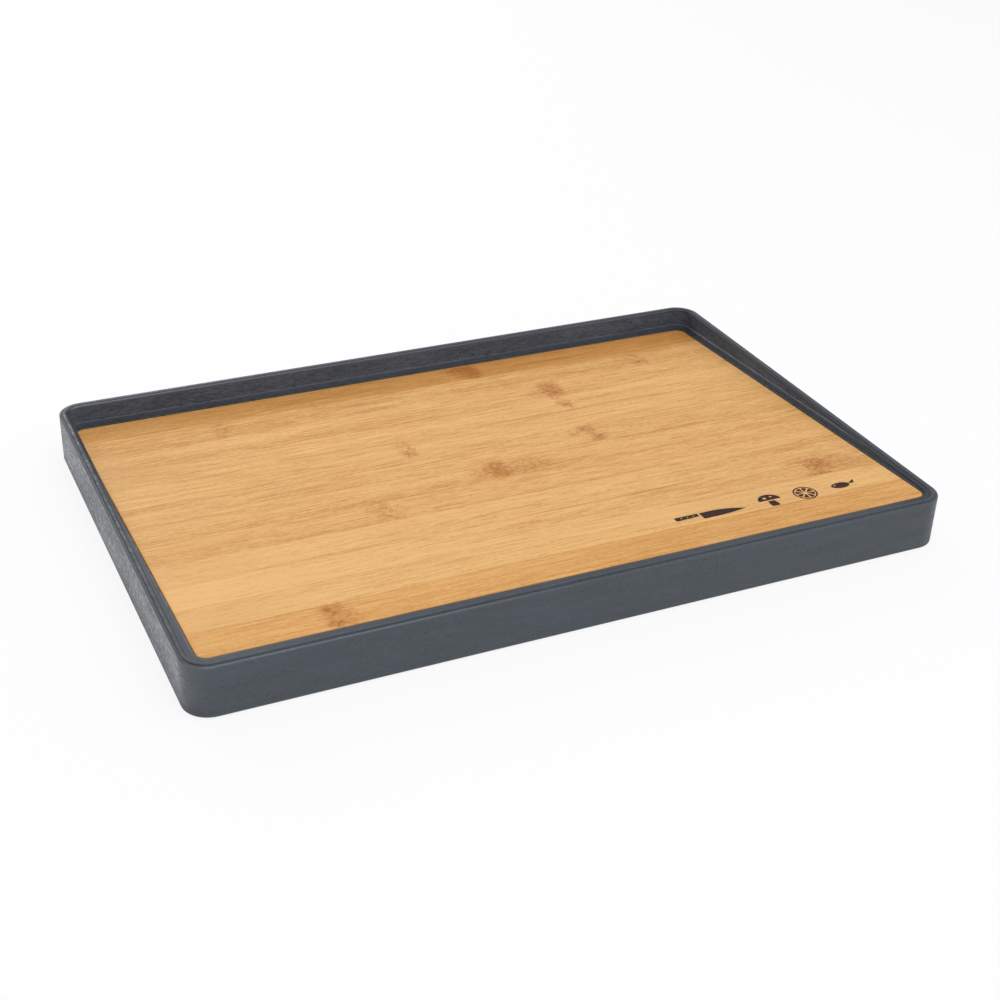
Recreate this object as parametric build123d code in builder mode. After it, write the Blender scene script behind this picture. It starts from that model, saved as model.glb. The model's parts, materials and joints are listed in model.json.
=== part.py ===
from build123d import *
import os
from math import cos, radians, sin

# Double-sided chopping board, a bamboo panel let into the sloping deck of a moulded frame.
# Millimetres, +Z up. The origin is on the worktop under the centre of the board, +X runs
# along the long side and -Y is the front, where the bamboo meets the rim.

# Bamboo panel, edge-glued from full-length strips
strip_count = 12
strip_length = 365.0
strip_width = 19.8
strip_thickness = 4.0
panel_corner_radius = 5.0
panel_edge_ease = 0.5

# Overall height, measured over both grip rings, and the slope of the two decks
board_height = 26.5
deck_slope = 2.78
panel_front_drop = 0.9

# Steps between the panel's edge and the outer face of the frame, from the inside out
panel_gap = 0.3
land_width = 1.3
riser_draft = 0.3
riser_height = 2.6
ledge_width = 0.7
ledge_rise = 0.4
inner_lip_width = 1.4
ring_width = 2.0
ring_inner_clearance = 0.1
ring_outer_clearance = 0.1
outer_lip_width = 1.3

# Frame moulding
lip_drop = 0.5
rim_edge_radius = 0.6
lip_edge_radius = 0.3
ledge_edge_radius = 0.3
deck_thickness = 2.6
rib_thickness = 1.8
rib_cell_count_x = 8
rib_cell_count_y = 5
weld_ledge_width = 4.0

# Grip rings
ring_seat_depth = 1.6
ring_edge_radius = 0.6

# Glue sheet under the bamboo and plate on the underside
glue_thickness = 0.3
glue_inset = 3.0
plate_thickness = 2.6
plate_gap = 0.2
plate_edge_ease = 0.4

# Sizes that follow from the ones above
panel_width = strip_count * strip_width
opening_length = strip_length + 2 * panel_gap
opening_width = panel_width + 2 * panel_gap
opening_corner = panel_corner_radius + panel_gap
riser_step = land_width + riser_draft
well_step = riser_step + ledge_width
well_length = opening_length + 2 * well_step
well_width = opening_width + 2 * well_step
well_corner = opening_corner + well_step
ring_channel = ring_outer_clearance + ring_width + ring_inner_clearance
rim_width = outer_lip_width + ring_channel + inner_lip_width
frame_length = well_length + 2 * rim_width
frame_width = well_width * cos(radians(deck_slope)) + 2 * rim_width
frame_corner = well_corner + rim_width
panel_mid_height = board_height - panel_front_drop - panel_width / 2 * sin(radians(deck_slope))
pocket_depth = strip_thickness + glue_thickness
deck_to_deck = (2 * panel_mid_height - board_height) * cos(radians(deck_slope))
core_depth = deck_to_deck - pocket_depth - deck_thickness - plate_thickness

# The face of the bamboo slopes down towards the back, and turning the frame over
# about its long axis gives the same slope again for the underside
slope_normal = (0, sin(radians(deck_slope)), cos(radians(deck_slope)))
panel_face = Plane(origin=(0, 0, panel_mid_height), x_dir=(1, 0, 0), z_dir=slope_normal)
turn_over = Location((0, 0, board_height), (180, 0, 0))

os.makedirs("parts", exist_ok=True)


def slope_plane(rise):
    """Plane parallel to the face of the bamboo, straight above it by rise."""
    return Plane(origin=(0, 0, panel_mid_height + rise), x_dir=(1, 0, 0), z_dir=slope_normal)


def opening_outline(step):
    """Rounded outline round the panel's opening, step outside it."""
    RectangleRounded(opening_length + 2 * step, opening_width + 2 * step, opening_corner + step)


# The space that is open above a deck, a riser and a narrow ledge under upright walls
with BuildPart() as well:
    with BuildSketch(slope_plane(0)):
        opening_outline(land_width)
    with BuildSketch(slope_plane(riser_height)):
        opening_outline(riser_step)
    loft(ruled=True)
    with BuildSketch(slope_plane(riser_height)):
        opening_outline(riser_step)
    with BuildSketch(slope_plane(riser_height + ledge_rise)):
        opening_outline(well_step)
    loft(ruled=True)
    with BuildSketch(slope_plane(riser_height + ledge_rise)):
        opening_outline(well_step)
    extrude(amount=board_height, dir=(0, 0, 1))
    ledge_nose = well.edges().filter_by(
        lambda edge: abs(slope_plane(riser_height).to_local_coords(edge.center()).Z) < ledge_rise / 4
    )
    fillet(ledge_nose, ledge_edge_radius)

# Channel for one grip ring, cut down from the hard rim
channel_inner_inset = outer_lip_width + ring_channel
with BuildPart() as channel:
    with BuildSketch(Plane.XY.offset(board_height - lip_drop)):
        RectangleRounded(
            frame_length - 2 * outer_lip_width, frame_width - 2 * outer_lip_width,
            frame_corner - outer_lip_width,
        )
        RectangleRounded(
            frame_length - 2 * channel_inner_inset, frame_width - 2 * channel_inner_inset,
            frame_corner - channel_inner_inset,
            mode=Mode.SUBTRACT,
        )
    extrude(amount=-ring_seat_depth)

# Frame, one moulding with both wells, the panel's pocket and a ribbed core
core_plane = panel_face.offset(-pocket_depth - deck_thickness)
core_length = strip_length - 2 * weld_ledge_width
core_width = panel_width - 2 * weld_ledge_width
cell_pitch_x = (core_length + rib_thickness) / rib_cell_count_x
cell_pitch_y = (core_width + rib_thickness) / rib_cell_count_y
with BuildPart() as frame:
    with BuildSketch(Plane.XY.offset(lip_drop)):
        RectangleRounded(frame_length, frame_width, frame_corner)
    extrude(amount=board_height - 2 * lip_drop)
    fillet(frame.faces().sort_by(Axis.Z)[-1].edges(), rim_edge_radius)
    fillet(frame.faces().sort_by(Axis.Z)[0].edges(), rim_edge_radius)
    add(well.part, mode=Mode.SUBTRACT)
    with Locations(turn_over):
        add(well.part, mode=Mode.SUBTRACT)
    add(channel.part, mode=Mode.SUBTRACT)
    with Locations(turn_over):
        add(channel.part, mode=Mode.SUBTRACT)
    with BuildSketch(panel_face):
        opening_outline(0)
    extrude(amount=-pocket_depth, mode=Mode.SUBTRACT)
    with BuildSketch(core_plane):
        with GridLocations(cell_pitch_x, cell_pitch_y, rib_cell_count_x, rib_cell_count_y):
            Rectangle(cell_pitch_x - rib_thickness, cell_pitch_y - rib_thickness)
    extrude(amount=-core_depth, mode=Mode.SUBTRACT)
    with BuildSketch(core_plane.offset(-core_depth)):
        RectangleRounded(
            strip_length + 2 * plate_gap, panel_width + 2 * plate_gap,
            panel_corner_radius + plate_gap,
        )
    extrude(amount=-plate_thickness, mode=Mode.SUBTRACT)
    level_faces = frame.faces().filter_by(Axis.Z).group_by(Axis.Z)
    upper_lip = level_faces[-1].sort_by(SortBy.AREA)[-1]
    fillet(upper_lip.inner_wires()[0].edges(), lip_edge_radius)
    level_faces = frame.faces().filter_by(Axis.Z).group_by(Axis.Z)
    lower_lip = level_faces[0].sort_by(SortBy.AREA)[-1]
    fillet(lower_lip.inner_wires()[0].edges(), lip_edge_radius)
frame.part.label = "frame"
export_step(frame.part, "parts/frame.step")

# Plate welded under the ribs, the cutting face of the other side
with BuildPart() as underside_plate:
    with BuildSketch(core_plane.offset(-core_depth)):
        RectangleRounded(strip_length, panel_width, panel_corner_radius)
    extrude(amount=-plate_thickness)
    fillet(underside_plate.faces().sort_by(Axis.Z)[0].edges(), plate_edge_ease)
underside_plate.part.label = "underside_plate"
export_step(underside_plate.part, "parts/underside_plate.step")

# Grip rings, soft bands that stand a little proud of the hard rim on both sides
ring_outer_inset = outer_lip_width + ring_outer_clearance
ring_inner_inset = ring_outer_inset + ring_width
with BuildPart() as upper_grip_ring:
    with BuildSketch(Plane.XY.offset(board_height - lip_drop - ring_seat_depth)):
        RectangleRounded(
            frame_length - 2 * ring_outer_inset, frame_width - 2 * ring_outer_inset,
            frame_corner - ring_outer_inset,
        )
        RectangleRounded(
            frame_length - 2 * ring_inner_inset, frame_width - 2 * ring_inner_inset,
            frame_corner - ring_inner_inset,
            mode=Mode.SUBTRACT,
        )
    extrude(amount=ring_seat_depth + lip_drop)
    fillet(upper_grip_ring.faces().sort_by(Axis.Z)[-1].edges(), ring_edge_radius)
upper_grip_ring.part.label = "upper_grip_ring"
export_step(upper_grip_ring.part, "parts/upper_grip_ring.step")

with BuildPart() as lower_grip_ring:
    with Locations(turn_over):
        add(upper_grip_ring.part)
lower_grip_ring.part.label = "lower_grip_ring"
export_step(lower_grip_ring.part, "parts/lower_grip_ring.step")

# Glue sheet on the floor of the pocket
with BuildPart() as glue_sheet:
    with BuildSketch(panel_face.offset(-strip_thickness)):
        RectangleRounded(
            strip_length - 2 * glue_inset, panel_width - 2 * glue_inset, panel_corner_radius
        )
    extrude(amount=-glue_thickness)
glue_sheet.part.label = "glue_sheet"
export_step(glue_sheet.part, "parts/glue_sheet.step")

# Bamboo strips, numbered from the front, all cut from one outline with eased edges
for number in range(strip_count):
    strip_centre = (number - (strip_count - 1) / 2) * strip_width
    with BuildPart() as bamboo_strip:
        with BuildSketch(panel_face):
            RectangleRounded(strip_length, panel_width, panel_corner_radius)
        extrude(amount=-strip_thickness)
        fillet(bamboo_strip.faces().sort_by(Axis.Z)[-1].edges(), panel_edge_ease)
        with BuildSketch(panel_face):
            with Locations((0, strip_centre)):
                Rectangle(strip_length, strip_width)
        extrude(amount=-strip_thickness, mode=Mode.INTERSECT)
    strip_name = f"bamboo_strip_{number + 1:02d}"
    bamboo_strip.part.label = strip_name
    export_step(bamboo_strip.part, f"parts/{strip_name}.step")

print(f"frame {frame_length:.1f} x {frame_width:.1f} x {board_height:.1f}, core {core_depth:.2f}")
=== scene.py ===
"""Finishes, burned marks and white studio for a double-sided chopping board.

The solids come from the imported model: twelve bamboo strips glued into a moulded slate grey
frame with a soft grip ring on each rim. The materials, the marks and the tables are in
millimetres, and all that is placed in the scene is in metres.
"""

import json
import math
from collections import namedtuple

import bmesh
import bpy
from bpy.props import FloatProperty, FloatVectorProperty, IntProperty, PointerProperty
from mathutils import Matrix, Vector


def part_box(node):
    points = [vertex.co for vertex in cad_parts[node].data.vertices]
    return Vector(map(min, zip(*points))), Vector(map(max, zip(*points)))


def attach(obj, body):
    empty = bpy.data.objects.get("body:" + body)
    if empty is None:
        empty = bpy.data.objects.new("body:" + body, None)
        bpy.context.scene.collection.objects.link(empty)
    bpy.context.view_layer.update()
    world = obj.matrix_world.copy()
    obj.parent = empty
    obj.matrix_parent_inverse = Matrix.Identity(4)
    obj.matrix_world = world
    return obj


bl_info = {
    "name": "Bamboo Chopping Board",
    "version": (1, 0, 0),
    "blender": (4, 5, 0),
    "location": "3D View > Sidebar > Chopping Board",
    "description": "Finishes, burned marks and studio for a double-sided chopping board",
    "category": "Material",
}

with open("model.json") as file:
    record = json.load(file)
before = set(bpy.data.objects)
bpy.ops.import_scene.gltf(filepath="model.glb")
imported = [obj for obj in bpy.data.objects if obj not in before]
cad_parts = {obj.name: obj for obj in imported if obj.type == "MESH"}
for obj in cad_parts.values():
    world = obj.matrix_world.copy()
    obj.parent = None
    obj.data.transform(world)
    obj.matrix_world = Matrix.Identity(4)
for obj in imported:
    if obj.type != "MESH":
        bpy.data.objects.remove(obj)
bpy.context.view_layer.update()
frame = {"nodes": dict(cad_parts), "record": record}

BODY = "root"
MM = 0.001

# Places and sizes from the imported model, in millimetres, apart from FACE_POINT in metres
strip_names = sorted(name for name in frame["nodes"] if name.startswith("bamboo_strip_"))
front_low, front_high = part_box(strip_names[0])
back_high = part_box(strip_names[-1])[1]
frame_low, frame_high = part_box("frame")
bamboo_face = next(m for m in frame["record"]["mounts"] if m["name"] == "bamboo_face")
FACE_NORMAL = Vector(bamboo_face["axis"]).normalized()
FACE_POINT = Vector(bamboo_face["pos_m"])
PANEL_HALF_LENGTH = front_high.x / MM
PANEL_FRONT = front_low.y / MM
PANEL_BACK = back_high.y / MM
STRIP_WIDTH = (PANEL_BACK - PANEL_FRONT) / len(strip_names)
FRAME_HALF_LENGTH = frame_high.x / MM
FRAME_HALF_WIDTH = frame_high.y / MM
MID_HEIGHT = 0.5 * (frame_low.z + frame_high.z) / MM

# Where the frame's finish changes, in millimetres. Each pair is where a change starts and where
# it is complete. The rims and what the mould smoothed end that far from the top and the bottom,
# and the rest is that far in from the outer faces, whose corners have the radius FRAME_CORNER.
# EDGE_LINE is the middle of the painted highlight line, and EDGE_LINE_END is how far it spreads
# from there.
FRAME_CORNER = 12.5
WALL_START = (2.8, 3.2)
WALL_END = (5.2, 5.4)
RIM_END = (1.1, 1.5)
SMOOTHED_END = (0.8, 3.6)
OUTER_LIP_END = (1.0, 1.5)
INNER_LIP_START = (3.3, 3.7)
EDGE_LINE = 0.2
EDGE_LINE_END = (0.05, 0.25)
FRONT_EDGE_END = (0.6, 1.1)
STRETCH_END = (5.0, 10.0)

# From where to where the painted light and shade on the rims change along the board, in millimetres
# from its middle
REARWARD = (-40.0, 100.0)
EDGE_LINE_WANES = (-110.0, 10.0)
RIGHT_END = (150.0, 180.0)

# Patterns reach this far into the bamboo, so they look alike on a strip's face and its edges
FIBRE_DEPTH = 60
SPOT_DEPTH = 20

# The studio: a floor just under the lower grip ring, and how bright its horizon is in reflections
WHITE = (1.0, 1.0, 1.0, 1.0)
FLOOR_PAINT = (0.9, 0.9, 0.9, 1.0)
FLOOR_HALF_SIZE = 4.0
FLOOR_DROP = 0.05 * MM
HORIZON = 1.2
SENSOR_WIDTH = 36.0

Knot = namedtuple("Knot", "along reach curls")
Patch = namedtuple("Patch", "along across reach width depth")
StripLook = namedtuple("StripLook", "tone drift warmth knots stains streaks")
Grain = namedtuple("Grain", "broad bands streaks fibres mottle lines dashes")
Zones = namedtuple("Zones", "walls rims smoothed outer_lip inner_lip edge_line front_edge")
Stretches = namedtuple("Stretches", "left front back")


def display(red, green, blue):
    """Linear colour of an on-screen colour whose channels run from 0 to 255."""
    channels = (red / 255, green / 255, blue / 255)
    return tuple(c / 12.92 if c <= 0.04045 else ((c + 0.055) / 1.055) ** 2.4 for c in channels)


# How each strip looks, from the front one to the back one: its tone, its drift, its warmth, and
# what lies on it. A tone of 0 is the darkest bamboo and 1 the palest, drift is what the right
# end gains on the left end, and warmth is the share of the orange tint. Places and sizes are
# millimetres, along from the middle of the board and across from the middle of the strip, and
# reach and width are half of what a patch takes up. A knot is where short curled lines cross the
# fibres, a stain is an oval patch round it, and a streak is a patch along the fibres. A streak
# with a depth below 0 is paler than the strip.
STRIP_LOOKS = (
    StripLook(
        0.58, -0.10, 0.26,
        knots=(Knot(-119, 9, 0.8),),
        stains=(
            Patch(-119.5, 6.5, 6.5, 5.5, 0.42), Patch(-122.5, 3, 3.5, 6, 0.25),
            Patch(-121, -5, 5, 5, 0.36), Patch(-117, -3, 10, 9, 0.2),
        ),
        streaks=(
            Patch(-115, 9.5, 60, 0.7, 0.6), Patch(-152, 6.3, 22, 0.8, 0.5),
            Patch(0, 0, 45, 8, -0.12), Patch(86, -2.7, 24, 0.9, 0.5), Patch(20, 3.5, 50, 0.7, 0.3),
        ),
    ),
    StripLook(
        0.86, -0.04, 0.00,
        knots=(),
        stains=(),
        streaks=(
            Patch(-30, -9.2, 60, 0.6, 0.5), Patch(40, 5.0, 60, 0.7, 0.25),
            Patch(-160, 0, 42, 20, 0.22), Patch(100, 0, 50, 14, 0.2),
        ),
    ),
    StripLook(
        0.84, -0.48, 0.00,
        knots=(Knot(152, 10, 0.9),),
        stains=(
            Patch(151, 2, 8, 9, 0.38), Patch(155, 0, 5, 5, 0.2), Patch(148, -8.5, 9, 3, 0.42),
            Patch(143, 7, 7, 3, 0.26), Patch(162, 1, 19, 9, 0.3),
        ),
        streaks=(
            Patch(40, 9.4, 62, 0.8, 0.8), Patch(66, 9.0, 28, 1.1, 0.8),
            Patch(66, 5.0, 30, 2.6, 0.45), Patch(-28, -4.3, 32, 0.7, 0.6),
            Patch(28, -7.6, 22, 0.7, 0.6), Patch(85, -9.0, 42, 0.8, 0.7),
        ),
    ),
    StripLook(
        0.80, -0.22, 0.00,
        knots=(),
        stains=(),
        streaks=(
            Patch(-8, -1.2, 20, 0.7, 0.9), Patch(-43, -1.0, 8, 0.6, 0.7),
            Patch(76, 1.7, 24, 0.9, 0.5), Patch(-100, -8.3, 48, 1.1, 0.5),
            Patch(-160, 0, 42, 20, 0.15),
        ),
    ),
    StripLook(
        0.80, 0.00, 0.10,
        knots=(Knot(-67, 9, 1.0),),
        stains=(Patch(-70, 3, 9, 8, 0.12),),
        streaks=(
            Patch(-105, 7.0, 24, 1.7, 0.5), Patch(20, 4.0, 44, 0.7, 0.5),
            Patch(-48, 6.4, 12, 0.7, 0.5), Patch(-105, -8.1, 24, 0.9, 0.6),
            Patch(42, -8.6, 58, 0.8, 0.5), Patch(-160, 0, 42, 20, 0.15),
        ),
    ),
    StripLook(
        0.65, -0.02, 0.00,
        knots=(Knot(1, 8, 0.8),),
        stains=(
            Patch(1, 0, 7.5, 11, 0.38), Patch(1.5, 3, 4, 7, 0.22), Patch(14, -1, 25, 9.5, 0.32),
            Patch(-9, 0, 9, 6, 0.24),
        ),
        streaks=(
            Patch(-148, 9.4, 38, 0.6, 0.5), Patch(-105, 4.9, 34, 3.2, 0.35),
            Patch(114, 7.8, 24, 1.6, 0.5), Patch(44, 2.5, 18, 0.7, 0.4),
            Patch(-160, 0, 42, 20, 0.1),
        ),
    ),
    StripLook(
        0.65, 0.02, 0.00,
        knots=(Knot(63, 7, 0.9),),
        stains=(
            Patch(66.5, -5.5, 5, 5.5, 0.5), Patch(64.5, 4, 4, 7, 0.34), Patch(56, 2, 6, 3.5, 0.22),
        ),
        streaks=(
            Patch(-100, 4.8, 28, 1.0, 0.6), Patch(-48, 4.8, 14, 0.8, 0.6),
            Patch(-28, 0.5, 34, 1.3, 0.5), Patch(-102, -2.1, 30, 1.5, 0.5),
            Patch(-160, 0, 42, 20, 0.12),
        ),
    ),
    StripLook(
        0.79, -0.08, 0.00,
        knots=(Knot(-32, 6, 1.0),),
        stains=(Patch(-32, -1, 5, 11, 0.2),),
        streaks=(
            Patch(98, -5.5, 30, 1.6, 0.4), Patch(-110, -8.6, 38, 1.0, 0.5),
            Patch(62, 0.0, 28, 1.0, 0.35),
        ),
    ),
    StripLook(
        0.75, 0.12, 0.00,
        knots=(Knot(68.5, 5.5, 1.0),),
        stains=(Patch(68, -3, 3, 3.5, 0.3), Patch(69, 0, 5, 10, 0.12)),
        streaks=(
            Patch(-90, 6.9, 30, 0.9, 0.5), Patch(-128, -2.8, 48, 1.1, 0.6),
            Patch(-90, -4.8, 18, 1.0, 0.5), Patch(-72, -8.0, 32, 1.2, 0.6),
            Patch(75, -9.4, 100, 0.6, 0.6), Patch(43, -1.0, 20, 6.0, -0.7),
            Patch(-160, 0, 42, 20, 0.3),
        ),
    ),
    StripLook(
        0.70, 0.06, 0.00,
        knots=(Knot(70, 8, 0.8),),
        stains=(Patch(70.5, 0, 8, 12, 0.48), Patch(64, -3, 11, 7, 0.25)),
        streaks=(
            Patch(-67, -1.7, 24, 1.0, 0.4), Patch(-10, -9.2, 22, 0.7, 0.9),
            Patch(-160, 0, 42, 20, 0.24),
        ),
    ),
    StripLook(
        0.58, 0.02, 0.00,
        knots=(Knot(-113, 4.5, 1.0), Knot(135, 6.5, 1.0)),
        stains=(
            Patch(-113, 0, 6, 10, 0.1), Patch(135.5, -6, 4.5, 4, 0.25), Patch(134, 0, 8, 10, 0.14),
        ),
        streaks=(
            Patch(-33, 1.9, 28, 3.6, 0.5), Patch(-31, -7.0, 20, 3.4, 0.5),
            Patch(-105, -8.4, 62, 1.0, 0.5), Patch(120, 9.0, 75, 5.0, 0.5),
        ),
    ),
    StripLook(
        0.38, -0.44, 0.35,
        knots=(Knot(38, 7, 0.5),),
        stains=(Patch(36, 1, 10, 11, 0.4), Patch(40, -2, 6, 11, 0.35), Patch(31, 5, 11, 4, 0.3)),
        streaks=(
            Patch(86, -2.5, 42, 1.9, 0.7), Patch(-43, -2.5, 64, 1.6, 0.5),
            Patch(-148, -8.6, 30, 1.1, 0.7),
        ),
    ),
)


class BambooSettings(bpy.types.PropertyGroup):
    """Colours and fibre sizes of the bamboo."""

    pale: FloatVectorProperty(
        name="Pale bamboo", description="Colour of the palest fibres",
        subtype="COLOR", min=0, max=1, default=display(230, 183, 122),
    )
    dark: FloatVectorProperty(
        name="Dark bamboo", description="Colour of the darkest strips",
        subtype="COLOR", min=0, max=1, default=display(185, 126, 62),
    )
    warm: FloatVectorProperty(
        name="Warm bamboo", description="Orange tint of the warmer strips",
        subtype="COLOR", min=0, max=1, default=display(210, 144, 70),
    )
    knot: FloatVectorProperty(
        name="Knot stain", description="Reddish brown of the bamboo's nodes",
        subtype="COLOR", min=0, max=1, default=display(160, 88, 34),
    )
    seam: FloatVectorProperty(
        name="Seam", description="Colour of the glue line between two strips",
        subtype="COLOR", min=0, max=1, default=display(154, 97, 44),
    )
    fibre_width: FloatProperty(
        name="Fibre width", description="Width of the fine fibres",
        unit="LENGTH", min=0.0001, max=0.005, default=0.00043, precision=5,
    )
    fibre_length: FloatProperty(
        name="Fibre length", description="Length over which a fine fibre fades",
        unit="LENGTH", min=0.001, max=0.2, default=0.016,
    )
    roughness: FloatProperty(
        name="Roughness", description="Roughness of the sanded and oiled face",
        subtype="FACTOR", min=0, max=1, default=0.48,
    )


class PlasticSettings(bpy.types.PropertyGroup):
    """Colours and texture of the moulded parts and of the grip rings."""

    frame_colour: FloatVectorProperty(
        name="Frame", description="Slate grey of the moulded frame",
        subtype="COLOR", min=0, max=1, default=display(71, 77, 84),
    )
    # Bluer and lighter than the frame's grey: painted cool light on the walls round the wells,
    # against the bamboo's warm bounce
    painted_cool_wall_colour: FloatVectorProperty(
        name="Walls", description="Bluer grey of the walls round the wells",
        subtype="COLOR", min=0, max=1, default=display(78, 88, 103),
    )
    plate_colour: FloatVectorProperty(
        name="Plate", description="Grey of the cutting plate on the other side",
        subtype="COLOR", min=0, max=1, default=display(80, 87, 93),
    )
    ring_colour: FloatVectorProperty(
        name="Grip rings", description="Grey of the soft grip rings",
        subtype="COLOR", min=0, max=1, default=display(67, 73, 80),
    )
    grain: FloatProperty(
        name="Grain", description="Size of the spark-eroded grain of the mould",
        unit="LENGTH", min=0.0001, max=0.01, default=0.0007, precision=5,
    )
    roughness: FloatProperty(
        name="Roughness", description="Roughness of the moulded face",
        subtype="FACTOR", min=0, max=1, default=0.46,
    )


class MarkSettings(bpy.types.PropertyGroup):
    """The four small kitchen marks burned into the bamboo."""

    ink: FloatVectorProperty(
        name="Mark", description="Dark brown of the burned marks",
        subtype="COLOR", min=0, max=1, default=display(44, 22, 16),
    )
    height: FloatProperty(
        name="Height", description="How far a mark stands above the bamboo",
        unit="LENGTH", min=0.00001, max=0.001, default=0.00004, precision=6,
    )
    from_front: FloatProperty(
        name="From the front",
        description="Distance of the row of marks from the panel's front edge",
        unit="LENGTH", min=0, max=0.2, default=0.026,
    )
    corner_steps: IntProperty(
        name="Corner steps", description="Segments in each rounded corner",
        min=1, max=16, default=6,
    )


class StudioSettings(bpy.types.PropertyGroup):
    """Camera and lights."""

    azimuth: FloatProperty(
        name="Azimuth", description="Turn of the camera round the board, from the front",
        subtype="ANGLE", default=math.radians(-25.868),
    )
    elevation: FloatProperty(
        name="Elevation", description="Height of the camera above the horizon",
        subtype="ANGLE", default=math.radians(30.123),
    )
    roll: FloatProperty(
        name="Roll", description="Turn of the camera about its own line of sight",
        subtype="ANGLE", default=math.radians(2.204),
    )
    distance: FloatProperty(
        name="Distance", description="From the camera to the point it looks at",
        unit="LENGTH", default=0.83502, precision=4,
    )
    target: FloatVectorProperty(
        name="Target", description="The point that the camera looks at",
        subtype="XYZ", unit="LENGTH", default=(0.00494, -0.00656, 0.0), precision=4,
    )
    focal_length: FloatProperty(
        name="Focal length", description="Millimetres, on a sensor 36 mm wide",
        min=10, max=300, default=58.96,
    )
    ambient: FloatProperty(
        name="Ambient", description="Strength of the even light from all round",
        min=0, max=4, default=0.6,
    )
    slant: FloatProperty(
        name="Slant",
        description="How much stronger the even light is at the right than at the left",
        min=0, max=1, default=0.7,
    )
    ceiling: FloatProperty(
        name="Ceiling", description="Strength of the studio's ceiling in reflections",
        min=0, max=1, default=0.2,
    )
    left_wall: FloatProperty(
        name="Left wall",
        description="How much brighter the studio's back left side is in reflections",
        min=0, max=4, default=0.8,
    )
    key: FloatProperty(
        name="Key light", description="Power of the softbox above the front edge", subtype="POWER",
        min=0, max=200, default=10.5,
    )
    back: FloatProperty(
        name="Back light", description="Power of the softbox at the back left", subtype="POWER",
        min=0, max=200, default=6.3,
    )
    left_table: FloatProperty(
        name="Left light table", description="Power of the light that comes up at the left",
        subtype="POWER", min=0, max=200, default=1.52,
    )
    front_table: FloatProperty(
        name="Front light table", description="Power of the light that comes up in front",
        subtype="POWER", min=0, max=200, default=0.3,
    )
    floor_glow: FloatProperty(
        name="Floor glow", description="Share of plain white in what the camera sees of the floor",
        subtype="FACTOR", min=0, max=1, default=0.86,
    )


class Signal:
    """A node's output, whose arithmetic adds Math nodes to the same tree."""

    def __init__(self, shader, socket):
        self.shader = shader
        self.socket = socket

    def __add__(self, other):
        return self.shader.math("ADD", self, other)

    def __sub__(self, other):
        return self.shader.math("SUBTRACT", self, other)

    def __rsub__(self, other):
        return self.shader.math("SUBTRACT", other, self)

    def __mul__(self, other):
        return self.shader.math("MULTIPLY", self, other)

    def __abs__(self):
        return self.shader.math("ABSOLUTE", self)

    __radd__ = __add__
    __rmul__ = __mul__


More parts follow.
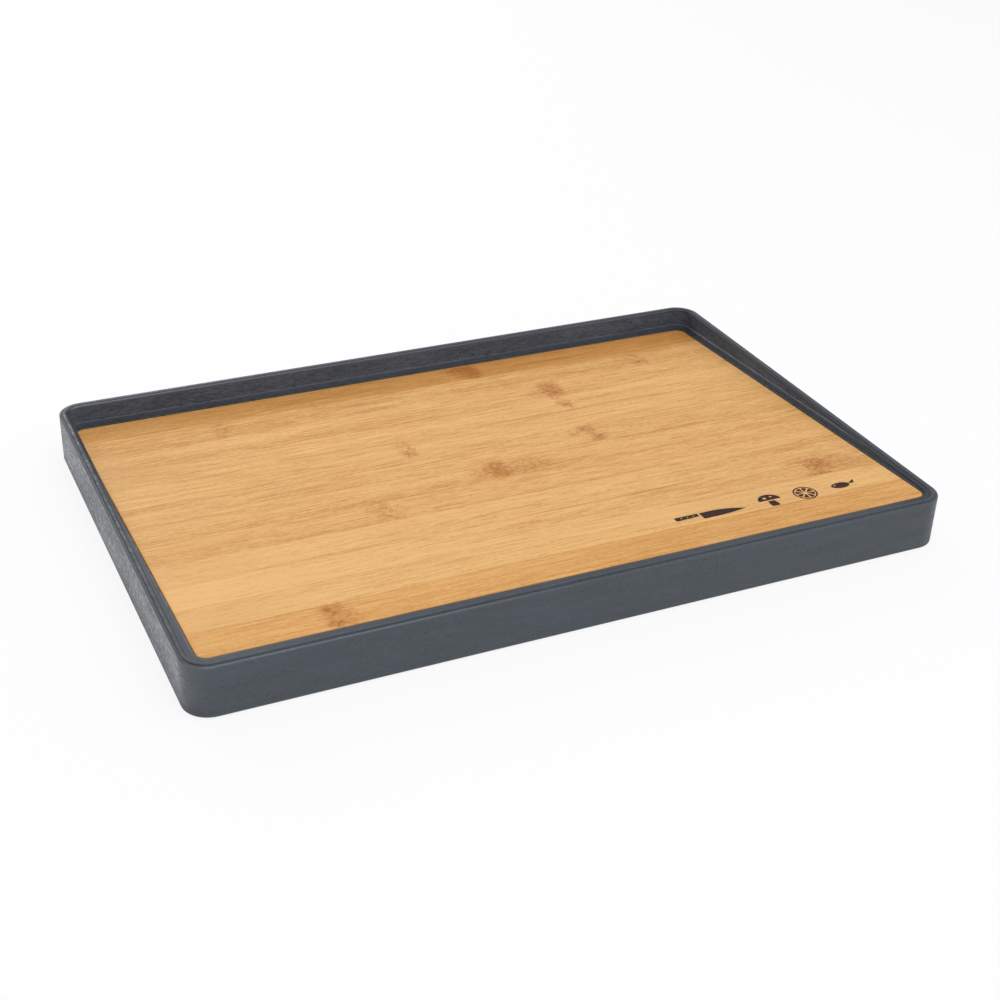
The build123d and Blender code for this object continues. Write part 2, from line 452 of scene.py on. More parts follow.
class Shader:
    """The node tree of a material or a world, built from expressions."""

    def __init__(self, owner):
        owner.use_nodes = True
        self.tree = owner.node_tree
        self.tree.nodes.clear()

    def node(self, kind, settings=None, inputs=None, output=0):
        """Adds a node, sets it up, feeds its sockets and returns one of its outputs."""
        node = self.tree.nodes.new(kind)
        for name, value in (settings or {}).items():
            setattr(node, name, value)
        for name, value in (inputs or {}).items():
            if isinstance(value, Signal):
                self.tree.links.new(value.socket, node.inputs[name])
            else:
                node.inputs[name].default_value = value
        return Signal(self, node.outputs[output]) if node.outputs else None

    def math(self, operation, *values):
        return self.node("ShaderNodeMath", {"operation": operation}, dict(enumerate(values)))

    def larger(self, first, second):
        return self.math("MAXIMUM", first, second)

    def smaller(self, first, second):
        return self.math("MINIMUM", first, second)

    def diagonal(self, first, second):
        """Length of the diagonal of a rectangle with these two sides."""
        return self.math("SQRT", first * first + second * second)

    def smooth(self, value, start, end):
        """0 up to start, 1 from end on, and a smooth step between them."""
        return self.node(
            "ShaderNodeMapRange", {"interpolation_type": "SMOOTHSTEP"},
            {"Value": value, "From Min": start, "From Max": end},
        )

    def fade(self, value, start, end):
        """1 up to start, 0 from end on, and a smooth step between them."""
        return 1.0 - self.smooth(value, start, end)

    def mix(self, share, first, second):
        """Colour that goes from first to second as share goes from 0 to 1."""
        colours = [c if isinstance(c, Signal) else (*c, 1.0) for c in (first, second)]
        return self.node(
            "ShaderNodeMix", {"data_type": "RGBA"}, {0: share, 6: colours[0], 7: colours[1]}, 2
        )

    def scale(self, colour, shade):
        """Colour times shade, which makes it lighter above 1 and darker below."""
        factors = self.node("ShaderNodeCombineXYZ", inputs={0: shade, 1: shade, 2: shade})
        value = colour if isinstance(colour, Signal) else tuple(colour)
        return self.node("ShaderNodeVectorMath", {"operation": "MULTIPLY"}, {0: value, 1: factors})

    def place(self):
        """Object coordinates in millimetres."""
        metres = self.node("ShaderNodeTexCoord", output="Object")
        return self.node(
            "ShaderNodeVectorMath", {"operation": "MULTIPLY"}, {0: metres, 1: (1 / MM,) * 3}
        )

    def split(self, vector):
        parts = self.node("ShaderNodeSeparateXYZ", inputs={0: vector})
        sockets = parts.socket.node.outputs
        return [Signal(self, socket) for socket in sockets]

    def join(self, x, y, z):
        return self.node("ShaderNodeCombineXYZ", inputs={0: x, 1: y, 2: z})

    def noise(self, place, size, seed, detail=2.0, roughness=0.5):
        """Noise about 0, mostly within 0.6 of it, whose lumps have the given size in mm. Each
        seed takes it from another place, so no two patterns are alike."""
        per_lump = tuple(1 / side for side in size)
        elsewhere = tuple(seed * step for step in (3.7, 5.3, 7.9))
        lumps = self.node(
            "ShaderNodeVectorMath", {"operation": "MULTIPLY_ADD"},
            {0: place, 1: per_lump, 2: elsewhere},
        )
        fac = self.node(
            "ShaderNodeTexNoise", inputs={
                "Vector": lumps, "Scale": 1.0, "Detail": detail, "Roughness": roughness,
            },
        )
        return self.math("MULTIPLY_ADD", fac, 2.0, -1.0)

    def surface(self, base, roughness, height, specular=0.5):
        """Ends the tree in a Principled shader over a bump whose height is in millimetres."""
        bump = self.node(
            "ShaderNodeBump", inputs={"Strength": 1.0, "Distance": MM, "Height": height}
        )
        shader = self.node(
            "ShaderNodeBsdfPrincipled", inputs={
                "Base Color": base, "Roughness": roughness, "Normal": bump,
                "Specular IOR Level": specular,
            },
        )
        self.node("ShaderNodeOutputMaterial", inputs={"Surface": shader})


def knot_mask(shader, x, place, knot, seed):
    """Ragged band across the strip, where the fibres of a node curl."""
    size = (6.0, 1.3, SPOT_DEPTH)
    fingers = shader.noise(place, size, seed + knot.along, detail=3, roughness=0.6)
    off = abs(x - knot.along + (0.4 + 0.7 * knot.reach) * fingers)
    return shader.fade(off, 0.35 * knot.reach, 1.1 * knot.reach)


def stain_mask(shader, x, across, stain):
    """Oval patch that fades from its middle."""
    along_off = (x - stain.along) * (1.0 / stain.reach)
    across_off = (across - stain.across) * (1.0 / stain.width)
    return stain.depth * shader.fade(shader.diagonal(along_off, across_off), 0.4, 1.15)


def streak_mask(shader, x, across, streak):
    """Narrow patch that runs along the fibres."""
    near = shader.fade(abs(x - streak.along), 0.25 * streak.reach, streak.reach)
    narrow = shader.fade(abs(across - streak.across), 0.15 * streak.width, streak.width)
    return abs(streak.depth) * near * narrow


def bamboo_grain(shader, drawn, settings, seed):
    """Patterns along the fibres, from broad tones to single fibres, drawn on swaying places."""
    width = settings.fibre_width / MM
    length = settings.fibre_length / MM
    broad_size = (190, 12.0, FIBRE_DEPTH)
    band_size = (100, 3.4, FIBRE_DEPTH)
    streak_size = (2.8 * length, 2.6 * width, FIBRE_DEPTH)
    fibre_size = (length, width, FIBRE_DEPTH)
    mottle_size = (2.6, 1.1, SPOT_DEPTH)
    line_size = (4.0 * length, 2.4 * width, FIBRE_DEPTH)
    dash_size = (0.5 * length, 0.6 * width, FIBRE_DEPTH)
    ridges = abs(shader.noise(drawn, line_size, seed + 23, detail=2))
    pores = shader.noise(drawn, dash_size, seed + 27)
    return Grain(
        broad=shader.noise(drawn, broad_size, seed + 11),
        bands=shader.noise(drawn, band_size, seed + 13, detail=3),
        streaks=shader.noise(drawn, streak_size, seed + 17, detail=3),
        fibres=shader.noise(drawn, fibre_size, seed + 19, detail=3, roughness=0.6),
        mottle=shader.noise(drawn, mottle_size, seed + 21, detail=2),
        lines=shader.fade(ridges, 0.0, 0.09),
        dashes=shader.smooth(pores, 0.2, 0.6),
    )


def node_stains(shader, x, across, place, stains, seed):
    """Ragged and blotchy stains round the nodes of a strip."""
    finger_size = (9.0, 1.1, SPOT_DEPTH)
    fingers = shader.noise(place, finger_size, seed + 31, detail=3, roughness=0.6)
    spread = shader.noise(place, (5.0, 4.0, SPOT_DEPTH), seed + 33, detail=2)
    specks = shader.noise(place, (2.3, 1.5, SPOT_DEPTH), seed + 35, detail=2)
    blotches = 0.7 + 1.4 * shader.smooth(specks, -0.15, 0.35)
    stained = 0.0
    for stain in stains:
        ragged = x + (1.5 + 0.35 * stain.reach) * fingers + 2.0 * spread
        stained = stained + stain_mask(shader, ragged, across + 2.5 * spread, stain)
    darkest = 0.85
    return shader.smaller(stained * blotches, darkest)


def node_curls(shader, place, knots, seed):
    """Dark lines where the fibres of a node curl, and how much paler the ridges between them are
    painted, a painted highlight on their relief.
    """
    curved = shader.noise(place, (1.5, 2.0, SPOT_DEPTH), seed + 5, detail=1)
    patches = shader.noise(place, (4.0, 5.0, SPOT_DEPTH), seed + 6)
    patchy = shader.smooth(patches, -0.25, 0.25)
    curls = shader.fade(abs(curved), 0.02, 0.22) * knots * patchy
    ridges = 0.14 * shader.smooth(curved, 0.2, 0.4) * knots * patchy
    return curls, ridges


def seam_mask(shader, across, place, seed):
    """Broken glue line along both edges of a strip."""
    gap = 0.5 * STRIP_WIDTH - abs(across)
    patches = shader.noise(place, (22, 40, FIBRE_DEPTH), seed + 29)
    broken = shader.larger(0.35 + 1.3 * patches, 0.0)
    return shader.fade(gap, 0.1, 0.4) * broken


def edge_shade_mask(shader, x, y):
    """Narrow margin round the panel, where it meets the frame, painted warmer and darker as painted
    contact shade.
    """
    gap = shader.smaller(PANEL_HALF_LENGTH - abs(x), y - PANEL_FRONT)
    gap = shader.smaller(gap, PANEL_BACK - y)
    return shader.fade(gap, 0.2, 1.6)


def bamboo_material(name, look, number, settings):
    """Flat-pressed bamboo: fibres along the strip, stained nodes, streaks and glued seams."""
    material = bpy.data.materials.new(name)
    shader = Shader(material)
    seed = 1.0 + number
    place = shader.place()
    x, y, z = shader.split(place)
    across = y - (PANEL_FRONT + (number + 0.5) * STRIP_WIDTH)

    sway = 0.6 * shader.noise(place, (110, 12, FIBRE_DEPTH), seed)
    knots = 0.0
    for knot in look.knots:
        mask = knot_mask(shader, x, place, knot, seed)
        knots = shader.larger(knots, mask * knot.curls)
        sway = sway + 1.8 * mask * shader.noise(place, (5.0, 4.0, SPOT_DEPTH), seed + 7)

    grain = bamboo_grain(shader, shader.join(x, y + sway, z), settings, seed)
    tone = look.tone + (look.drift / 2 / PANEL_HALF_LENGTH) * x
    tone = tone + 0.4 * grain.broad + 0.1 * grain.bands + 0.38 * grain.streaks
    tone = tone + 1.15 * grain.fibres + 0.4 * grain.mottle
    base = shader.mix(tone, settings.dark, settings.pale)
    if look.warmth:
        base = shader.mix(look.warmth * (0.8 + 0.8 * grain.broad), base, settings.warm)
    fibrous = 0.45 + 0.55 * grain.streaks + 0.55 * grain.fibres
    for streak in look.streaks:
        mask = streak_mask(shader, x, across + sway, streak)
        colour = settings.seam if streak.depth > 0 else settings.pale
        base = shader.mix(mask * fibrous, base, colour)
    base = shader.mix(0.12 * grain.lines + 0.18 * grain.dashes, base, settings.seam)

    stains = 0.0
    if look.stains:
        stains = node_stains(shader, x, across, place, look.stains, seed)
        base = shader.mix(0.78 * stains, base, settings.knot)
    curls = 0.0
    if look.knots:
        curls, ridges = node_curls(shader, place, knots, seed)
        base = shader.mix(0.55 * curls, base, settings.knot)
        # Paler ridges between the curls: a painted highlight on their relief
        base = shader.scale(base, 1.0 + ridges)
    seam = seam_mask(shader, across, place, seed)
    base = shader.mix(0.36 * seam, base, settings.seam)
    # Painted contact shade round the panel's edge, next to the frame
    base = shader.mix(0.4 * edge_shade_mask(shader, x, y), base, settings.warm)

    roughness = settings.roughness + 0.08 * grain.fibres + 0.06 * grain.streaks - 0.05 * stains
    height = 0.012 * grain.fibres + 0.01 * grain.streaks - 0.012 * grain.dashes
    height = height - 0.015 * curls - 0.02 * seam
    shader.surface(base, roughness, height, specular=0.05)
    return material


def frame_zones(shader, x, y, z):
    """Shares of the walls round the wells, the rims, what the mould smoothed, the rims' outer
    and inner lips, the painted highlight line along the outer edge and the polished front edge,
    which is also painted lighter as a highlight."""
    corner_x = shader.larger(abs(x) - (FRAME_HALF_LENGTH - FRAME_CORNER), 0.0)
    corner_y = shader.larger(abs(y) - (FRAME_HALF_WIDTH - FRAME_CORNER), 0.0)
    inset = FRAME_CORNER - shader.diagonal(corner_x, corner_y)
    below_rim = MID_HEIGHT - abs(z - MID_HEIGHT)
    lower = shader.smooth(below_rim, *RIM_END)
    rims = 1.0 - lower
    inner = shader.smooth(inset, *WALL_START)
    outer = shader.fade(inset, *WALL_END)
    return Zones(
        walls=inner * (0.2 + 0.8 * outer) * lower,
        rims=rims,
        smoothed=shader.fade(below_rim, *SMOOTHED_END),
        outer_lip=rims * shader.fade(inset, *OUTER_LIP_END),
        inner_lip=rims * shader.smooth(inset, *INNER_LIP_START),
        edge_line=rims * shader.fade(abs(inset - EDGE_LINE), *EDGE_LINE_END),
        front_edge=rims * shader.fade(y + FRAME_HALF_WIDTH, *FRONT_EDGE_END),
    )


def rim_stretches(shader, x, y):
    """Shares of the left, the front and the back stretch of the rims, which fade past the
    corners."""
    return Stretches(
        left=shader.fade(x + FRAME_HALF_LENGTH, *STRETCH_END),
        front=shader.fade(y + FRAME_HALF_WIDTH, *STRETCH_END),
        back=shader.fade(FRAME_HALF_WIDTH - y, *STRETCH_END),
    )


def rim_painted_light(rim, x):
    """How much paler the back of the rims is painted, most of all at its left end, and how much
    darker their left stretch is: painted reflection and painted shade."""
    return 0.35 * rim.back - 0.0008 * rim.back * x - 0.1 * rim.left


def moulded_texture(shader, place, grain, depth):
    """Shade, roughness and height of a spark-eroded grain with clouds and flow marks."""
    size = grain / MM
    mottle_size = (4.5 * size, 4.5 * size, 1.4 * size)
    fine_size = (1.8 * size, 1.8 * size, 0.8 * size)
    clouds = shader.noise(place, (42, 42, 14), 3.0, detail=3)
    flow = shader.noise(place, (24, 24, 3.5), 5.0, detail=2)
    mottle = shader.noise(place, mottle_size, 7.0, detail=3, roughness=0.6)
    fine = shader.noise(place, fine_size, 9.0, detail=3, roughness=0.6)
    shade = 0.2 * clouds + 0.14 * flow + 0.38 * mottle + 0.25 * fine
    uneven = 0.2 * clouds + 0.55 * mottle
    height = depth * fine + 1.8 * depth * mottle
    return shade, uneven, height


def moulded_material(name, colour, grain, roughness, depth, specular, on_rim=False):
    """Moulded plastic or rubber in one colour, which on a rim gets the rims' painted reflection and
    shade.
    """
    material = bpy.data.materials.new(name)
    shader = Shader(material)
    place = shader.place()
    shade, uneven, height = moulded_texture(shader, place, grain, depth)
    if on_rim:
        x, y = shader.split(place)[:2]
        # On a rim: painted light, paler at the back and darker along the left
        shade = shade + rim_painted_light(rim_stretches(shader, x, y), x)
    shader.surface(shader.scale(colour, 1.0 + shade), roughness + uneven, height, specular)
    return material


def frame_material(settings):
    """Moulded plastic of the frame, grained outside and smooth on the rims, bluer and lighter on
    the walls round the wells as painted cool light, and with painted highlights and shade on the
    rims' lips."""
    material = bpy.data.materials.new("Frame plastic")
    shader = Shader(material)
    place = shader.place()
    x, y, z = shader.split(place)
    zones = frame_zones(shader, x, y, z)
    rim = rim_stretches(shader, x, y)
    rearward = shader.smooth(y, *REARWARD)
    shade, uneven, height = moulded_texture(shader, place, settings.grain, depth=0.1)

    # The rims get painted reflection and shade: paler at the back, darker along the left
    shade = shade * (1.0 + zones.walls - 0.6 * zones.smoothed) + zones.rims * rim_painted_light(rim, x)
    # Painted highlight on the front outer lip
    shade = shade + 0.1 * zones.outer_lip * rim.front
    # Painted shade on the left outer lip, deeper towards the back
    shade = shade - zones.outer_lip * rim.left * (0.15 + 0.3 * rearward)
    # Painted shade along the left inner lip towards the back, a painted shadow line beside the
    # bamboo
    shade = shade - zones.inner_lip * rim.left * 0.5 * rearward
    # Painted highlight line along the front outer edge, waning to the right, and a painted
    # highlight on the front edge
    line = 0.15 + 0.75 * shader.fade(x, *EDGE_LINE_WANES)
    shade = shade + zones.edge_line * rim.front * line + 0.1 * zones.front_edge
    # Painted shade on the inner lips, but for the back, and deeper at the right end
    shade = shade - zones.inner_lip * (1.0 - rim.back) * 0.14
    shade = shade - zones.inner_lip * 0.3 * shader.smooth(x, *RIGHT_END)
    # The walls round the wells are painted bluer and lighter: painted cool light against the
    # bamboo's warm bounce
    face = shader.mix(zones.walls, settings.frame_colour, settings.painted_cool_wall_colour)
    base = shader.scale(face, 1.0 + shade)

    roughness = settings.roughness + uneven * (1.0 - 0.9 * zones.smoothed)
    roughness = roughness + 0.3 * zones.inner_lip * rim.left * rearward
    roughness = roughness - 0.2 * zones.front_edge
    height = height * (1.0 - 0.96 * zones.smoothed)
    shader.surface(base, roughness, height, specular=0.25)
    return material


def glue_material():
    """Cured cream glue with comb marks, behind the bamboo."""
    material = bpy.data.materials.new("Cured glue")
    shader = Shader(material)
    place = shader.place()
    thin = display(206, 190, 150)
    thick = display(232, 220, 190)
    combed = shader.noise(place, (60, 2.0, 20), 2.0)
    lumps = shader.noise(place, (6, 6, 6), 4.0, detail=3)
    base = shader.mix(0.5 + 0.5 * combed + 0.3 * lumps, thin, thick)
    shader.surface(base, 0.35 + 0.1 * lumps, 0.05 * combed + 0.02 * lumps)
    return material


def mark_material(settings):
    """Scorched bamboo, dark brown and streaked along the fibres."""
    material = bpy.data.materials.new("Scorched mark")
    shader = Shader(material)
    place = shader.place()
    streaks = shader.noise(place, (9, 0.5, SPOT_DEPTH), 31.0, detail=3)
    specks = shader.noise(place, (0.5, 0.35, SPOT_DEPTH), 33.0, detail=2)
    lighter = tuple(min(1.0, 2.6 * channel) for channel in settings.ink)
    base = shader.mix(0.3 + 0.7 * streaks + 0.5 * specks, settings.ink, lighter)
    shader.surface(base, 0.62 + 0.1 * specks, 0.01 * streaks + 0.006 * specks, specular=0.2)
    return material


def finish_node(name, material):
    """Gives a CAD node its material in every slot of its mesh."""
    node = frame["nodes"][name]
    if not node.material_slots:
        node.data.materials.append(material)
    for material_slot in node.material_slots:
        material_slot.material = material


class BOARD_OT_bamboo_strips(bpy.types.Operator):
    """Give each bamboo strip its own tone, nodes and streaks"""

    bl_idname = "board.bamboo_strips"
    bl_label = "Finish the Bamboo Strips"

    def execute(self, context):
        settings = context.scene.board_bamboo
        for number, name in enumerate(strip_names):
            look = STRIP_LOOKS[number % len(STRIP_LOOKS)]
            material = bamboo_material(f"Bamboo {number + 1:02d}", look, number, settings)
            finish_node(name, material)
        return {"FINISHED"}


class BOARD_OT_frame(bpy.types.Operator):
    """Give the moulded frame its slate grey, grained plastic"""

    bl_idname = "board.frame"
    bl_label = "Finish the Frame"

    def execute(self, context):
        finish_node("frame", frame_material(context.scene.board_plastic))
        return {"FINISHED"}


class BOARD_OT_underside_plate(bpy.types.Operator):
    """Give the cutting plate on the other side its matt, coarser grain"""

    bl_idname = "board.underside_plate"
    bl_label = "Finish the Underside Plate"

    def execute(self, context):
        settings = context.scene.board_plastic
        material = moulded_material(
            "Plate plastic", settings.plate_colour, 2.0 * settings.grain,
            roughness=0.62, depth=0.1, specular=0.25,
        )
        finish_node("underside_plate", material)
        return {"FINISHED"}


class BOARD_OT_grip_rings(bpy.types.Operator):
    """Give both grip rings their soft, dull rubber"""

    bl_idname = "board.grip_rings"
    bl_label = "Finish the Grip Rings"

    def execute(self, context):
        settings = context.scene.board_plastic
        material = moulded_material(
            "Grip rubber", settings.ring_colour, settings.grain,
            roughness=0.5, depth=0.02, specular=0.3, on_rim=True,
        )
        for name in ("upper_grip_ring", "lower_grip_ring"):
            finish_node(name, material)
        return {"FINISHED"}


class BOARD_OT_glue_sheet(bpy.types.Operator):
    """Give the hidden glue sheet its cream glue"""

    bl_idname = "board.glue_sheet"
    bl_label = "Finish the Glue Sheet"

    def execute(self, context):
        finish_node("glue_sheet", glue_material())
        return {"FINISHED"}


class Mark:
    """A flat mark in millimetres, drawn as closed outlines that are filled and thickened."""

    def __init__(self, corner_steps):
        self.mesh = bmesh.new()
        self.steps = corner_steps

    def outline(self, corners, rounding):
        """Closed outline through a few corners, of which those in rounding get a radius."""
        made = [self.mesh.verts.new((u, v, 0.0)) for u, v in corners]
        face = self.mesh.faces.new(made)
        for index, radius in rounding:
            bmesh.ops.bevel(
                self.mesh, geom=[made[index]], offset=radius, affect="VERTICES",
                segments=self.steps, profile=0.5, material=-1,
            )
        face = next(f for f in self.mesh.faces if f.is_valid)
        bmesh.ops.delete(self.mesh, geom=[face], context="FACES_ONLY")

    def circle(self, centre, radius, stretch=(1.0, 1.0)):
        """Closed round or oval outline."""
        turned = Matrix.Translation((*centre, 0.0)) @ Matrix.Diagonal((*stretch, 1.0, 1.0))
        bmesh.ops.create_circle(self.mesh, segments=8 * self.steps, radius=radius, matrix=turned)

    def solid(self, name, place, height):
        """Fills the outlines, gives them a thickness and places them, in metres."""
        bmesh.ops.triangle_fill(
            self.mesh, use_beauty=True, use_dissolve=False, edges=self.mesh.edges[:]
        )
        raised = bmesh.ops.extrude_face_region(self.mesh, geom=self.mesh.faces[:])["geom"]
        top = [item for item in raised if isinstance(item, bmesh.types.BMVert)]
        bmesh.ops.translate(self.mesh, verts=top, vec=(0.0, 0.0, height / MM))
        bmesh.ops.recalc_face_normals(self.mesh, faces=self.mesh.faces[:])
        bmesh.ops.transform(self.mesh, matrix=place @ Matrix.Scale(MM, 4), verts=self.mesh.verts[:])
        data = bpy.data.meshes.new(name)
        self.mesh.to_mesh(data)
        self.mesh.free()
        piece = bpy.data.objects.new(name, data)
        bpy.context.scene.collection.objects.link(piece)
        return piece


def draw_fish(mark):
    """Oval body with an eye, and a forked tail."""
    mark.circle((-1.2, 0.0), 5.2, (1.0, 0.52))
    mark.circle((-4.2, 0.7), 0.55)
    mark.outline(((3.0, 0.0), (8.2, 3.3), (6.8, 0.0), (8.2, -3.3)), ((1, 0.5), (3, 0.5)))


def round_point(radius, turn):
    """Point of a circle round the middle of a mark."""
    return radius * math.cos(turn), radius * math.sin(turn)


def draw_citrus(mark):
    """Cut citrus fruit: a ring of peel round eight segments."""
    core, flesh, pith, peel = 1.0, 4.9, 5.4, 6.2
    mark.circle((0.0, 0.0), peel)
    mark.circle((0.0, 0.0), pith)
    segments = 8
    skin = 0.09
    for index in range(segments):
        middle = 2 * math.pi * (index + 0.5) / segments
        half = math.pi / segments - skin
        corners = [round_point(core, middle)]
        corners += [round_point(flesh, middle + turn) for turn in (-half, 0.0, half)]
        mark.outline(corners, ((1, 0.7), (3, 0.7)))


def draw_mushroom(mark):
    """Domed cap with two spots over a stem."""
    half_width, foot, rise = 6.2, 0.4, 5.6
    steps = 12
    turns = [math.pi * step / steps for step in range(steps + 1)]
    dome = [(half_width * math.cos(turn), foot + rise * math.sin(turn)) for turn in turns]
    mark.outline(dome, ((0, 0.5), (steps, 0.5)))
    mark.circle((-1.9, 2.8), 0.9)
    mark.circle((1.9, 3.4), 0.7)
    mark.outline(((-1.9, -0.5), (1.9, -0.5), (2.5, -5.6), (-2.5, -5.6)), ((2, 1.2), (3, 1.2)))


def draw_knife(mark):
    """Cook's knife lying along the fibres, with a riveted handle."""
    mark.outline(
        ((-5.2, 2.4), (8.0, 2.4), (19.0, -1.6), (9.0, -3.4), (-5.2, -3.4)),
        ((1, 6.0), (3, 7.0), (4, 0.5)),
    )
    mark.outline(((-19.0, 2.4), (-6.2, 2.4), (-6.2, -0.3), (-19.0, -0.9)), ((0, 0.8), (3, 1.1)))
    for rivet in (-15.5, -12.2, -8.9):
        mark.circle((rivet, 0.95), 0.4)


# The marks in their row, each with its distance from the middle of the board in millimetres
MARKS = (
    ("mark_knife", draw_knife, 75.0),
    ("mark_mushroom", draw_mushroom, 109.0),
    ("mark_citrus", draw_citrus, 129.0),
    ("mark_fish", draw_fish, 151.0),
)


class BOARD_OT_marks(bpy.types.Operator):
    """Burn the row of kitchen marks into the front right corner of the bamboo"""

    bl_idname = "board.marks"
    bl_label = "Burn the Marks"

    def execute(self, context):
        settings = context.scene.board_marks
        material = mark_material(settings)
        right = Vector((1.0, 0.0, 0.0))
        up = FACE_NORMAL.cross(right)
        turned = Matrix((right, up, FACE_NORMAL)).transposed().to_4x4()
        row = PANEL_FRONT * MM + settings.from_front
        for name, draw, along in MARKS:
            centre = Vector((along * MM, row, 0.0))
            centre.z = FACE_POINT.z - (row - FACE_POINT.y) * FACE_NORMAL.y / FACE_NORMAL.z
            mark = Mark(settings.corner_steps)
            draw(mark)
            piece = mark.solid(name, Matrix.Translation(centre) @ turned, settings.height)
            piece.data.materials.append(material)
            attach(piece, BODY)
        return {"FINISHED"}


def panel_light(name, place, size, power):
    """Rectangular area light."""
    data = bpy.data.lights.new(name, "AREA")
    data.shape = "RECTANGLE"
    data.size, data.size_y = size
    data.energy = power
    light = bpy.data.objects.new(name, data)
    light.location = place
    bpy.context.scene.collection.objects.link(light)
    return light


def softbox(name, place, size, power):
    """Softbox that faces the board."""
    light = panel_light(name, place, size, power)
    light.rotation_euler = (-Vector(place)).to_track_quat("-Z", "Y").to_euler()


def light_table(name, place, size, power):
    """Dim light that lies on the floor, faces up and isn't seen itself."""
    light = panel_light(name, place, size, power)
    light.rotation_euler = (math.pi, 0.0, 0.0)
    light.visible_camera = False


def rays_that_see_white(shader):
    """1 for camera rays, 1 for glossy rays and 1 for transmission rays."""
    return [
        shader.node("ShaderNodeLightPath", output=f"Is {kind} Ray")
        for kind in ("Camera", "Glossy", "Transmission")
    ]


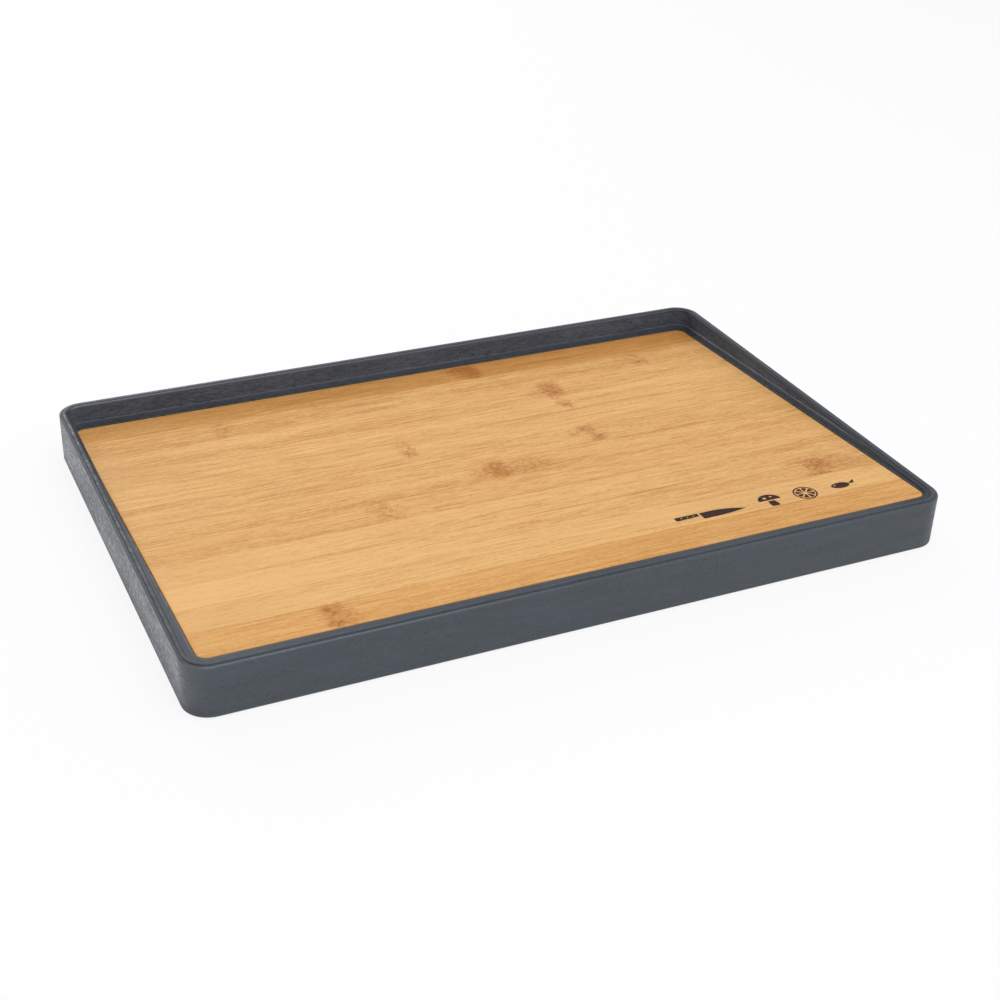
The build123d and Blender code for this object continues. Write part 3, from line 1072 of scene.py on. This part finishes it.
class BOARD_OT_studio(bpy.types.Operator):
    """Set up the white floor, the soft lights and the camera"""

    bl_idname = "board.studio"
    bl_label = "Set Up the Studio"

    def execute(self, context):
        settings = context.scene.board_studio
        scene = context.scene
        self.floor(settings)
        self.world(scene, settings)
        softbox("Key light", place=(-0.05, -0.5, 1.5), size=(1.1, 1.1), power=settings.key)
        softbox("Back light", place=(-0.3, 1.3, 0.65), size=(1.1, 0.5), power=settings.back)
        light_table(
            "Left light table", place=(-0.5425, 0.22, 0.0), size=(0.7, 1.2),
            power=settings.left_table,
        )
        light_table(
            "Front light table", place=(0.0, -0.376, 0.0), size=(1.0, 0.5),
            power=settings.front_table,
        )
        self.camera(scene, settings)
        scene.view_settings.view_transform = "Standard"
        return {"FINISHED"}

    def floor(self, settings):
        """White floor just under the lower grip ring, which keeps the board's shadow."""
        mesh = bmesh.new()
        bmesh.ops.create_grid(mesh, x_segments=1, y_segments=1, size=FLOOR_HALF_SIZE)
        bmesh.ops.translate(mesh, verts=mesh.verts[:], vec=(0.0, 0.0, -FLOOR_DROP))
        data = bpy.data.meshes.new("studio_floor")
        mesh.to_mesh(data)
        mesh.free()
        floor = bpy.data.objects.new("studio_floor", data)
        bpy.context.scene.collection.objects.link(floor)
        material = bpy.data.materials.new("Studio floor")
        shader = Shader(material)
        paint = shader.node("ShaderNodeBsdfDiffuse", inputs={"Color": FLOOR_PAINT})
        glow = shader.node("ShaderNodeEmission", inputs={"Strength": 1.0})
        camera, glossy, transmission = rays_that_see_white(shader)
        share = settings.floor_glow * shader.larger(camera, shader.larger(glossy, transmission))
        white = shader.node("ShaderNodeMixShader", inputs={0: share, 1: paint, 2: glow})
        shader.node("ShaderNodeOutputMaterial", inputs={"Surface": white})
        data.materials.append(material)

    def world(self, scene, settings):
        """White backdrop to the camera and in reflections, under a dimmer ceiling."""
        scene.world = bpy.data.worlds.new("Studio")
        shader = Shader(scene.world)
        right, back, height = shader.split(shader.node("ShaderNodeTexCoord", output="Generated"))
        ambient = settings.ambient * (1.0 + settings.slant * right)
        left_wall = settings.left_wall * shader.fade(right, 0.0, 0.45)
        ceiling = settings.ceiling + left_wall * shader.smooth(back, 0.3, 0.7)
        mirrored = HORIZON + (ceiling - HORIZON) * shader.smooth(height, 0.2, 0.6)
        camera, glossy, transmission = rays_that_see_white(shader)
        strength = ambient + (1.0 - ambient) * camera
        strength = strength + (mirrored - ambient) * shader.larger(glossy, transmission)
        light = shader.node("ShaderNodeBackground", inputs={"Color": WHITE, "Strength": strength})
        shader.node("ShaderNodeOutputWorld", inputs={"Surface": light})

    def camera(self, scene, settings):
        """Camera at the photograph's angle, from its turn, height, roll and distance."""
        back = Vector((
            math.sin(settings.azimuth) * math.cos(settings.elevation),
            -math.cos(settings.azimuth) * math.cos(settings.elevation),
            math.sin(settings.elevation),
        ))
        right = (-back).cross(Vector((0.0, 0.0, 1.0))).normalized()
        up = back.cross(right)
        turned = Matrix((right, up, back)).transposed().to_4x4()
        data = bpy.data.cameras.new("Camera")
        data.sensor_width = SENSOR_WIDTH
        data.lens = settings.focal_length
        camera = bpy.data.objects.new("Camera", data)
        place = Vector(settings.target) + settings.distance * back
        camera.matrix_world = (
            Matrix.Translation(place) @ turned @ Matrix.Rotation(settings.roll, 4, "Z")
        )
        scene.collection.objects.link(camera)
        scene.camera = camera


class BOARD_PT_panel(bpy.types.Panel):
    """Sizes, colours and steps of the chopping board"""

    bl_label = "Chopping Board"
    bl_space_type = "VIEW_3D"
    bl_region_type = "UI"
    bl_category = "Chopping Board"

    def draw(self, context):
        for group in SETTINGS:
            box = self.layout.box()
            settings = getattr(context.scene, group)
            for name in settings.__annotations__:
                box.prop(settings, name)
        for step in STEPS:
            self.layout.operator(step.bl_idname)


SETTINGS = {
    "board_bamboo": BambooSettings,
    "board_plastic": PlasticSettings,
    "board_marks": MarkSettings,
    "board_studio": StudioSettings,
}
STEPS = (
    BOARD_OT_bamboo_strips,
    BOARD_OT_frame,
    BOARD_OT_underside_plate,
    BOARD_OT_grip_rings,
    BOARD_OT_glue_sheet,
    BOARD_OT_marks,
    BOARD_OT_studio,
)
CLASSES = (*SETTINGS.values(), *STEPS, BOARD_PT_panel)


def register():
    for made in CLASSES:
        bpy.utils.register_class(made)
    for group, made in SETTINGS.items():
        setattr(bpy.types.Scene, group, PointerProperty(type=made))


def unregister():
    for group in SETTINGS:
        delattr(bpy.types.Scene, group)
    for made in reversed(CLASSES):
        bpy.utils.unregister_class(made)


def main():
    register()
    bpy.ops.board.bamboo_strips()
    bpy.ops.board.frame()
    bpy.ops.board.underside_plate()
    bpy.ops.board.grip_rings()
    bpy.ops.board.glue_sheet()
    bpy.ops.board.marks()
    bpy.ops.board.studio()


if __name__ == "__main__":
    main()
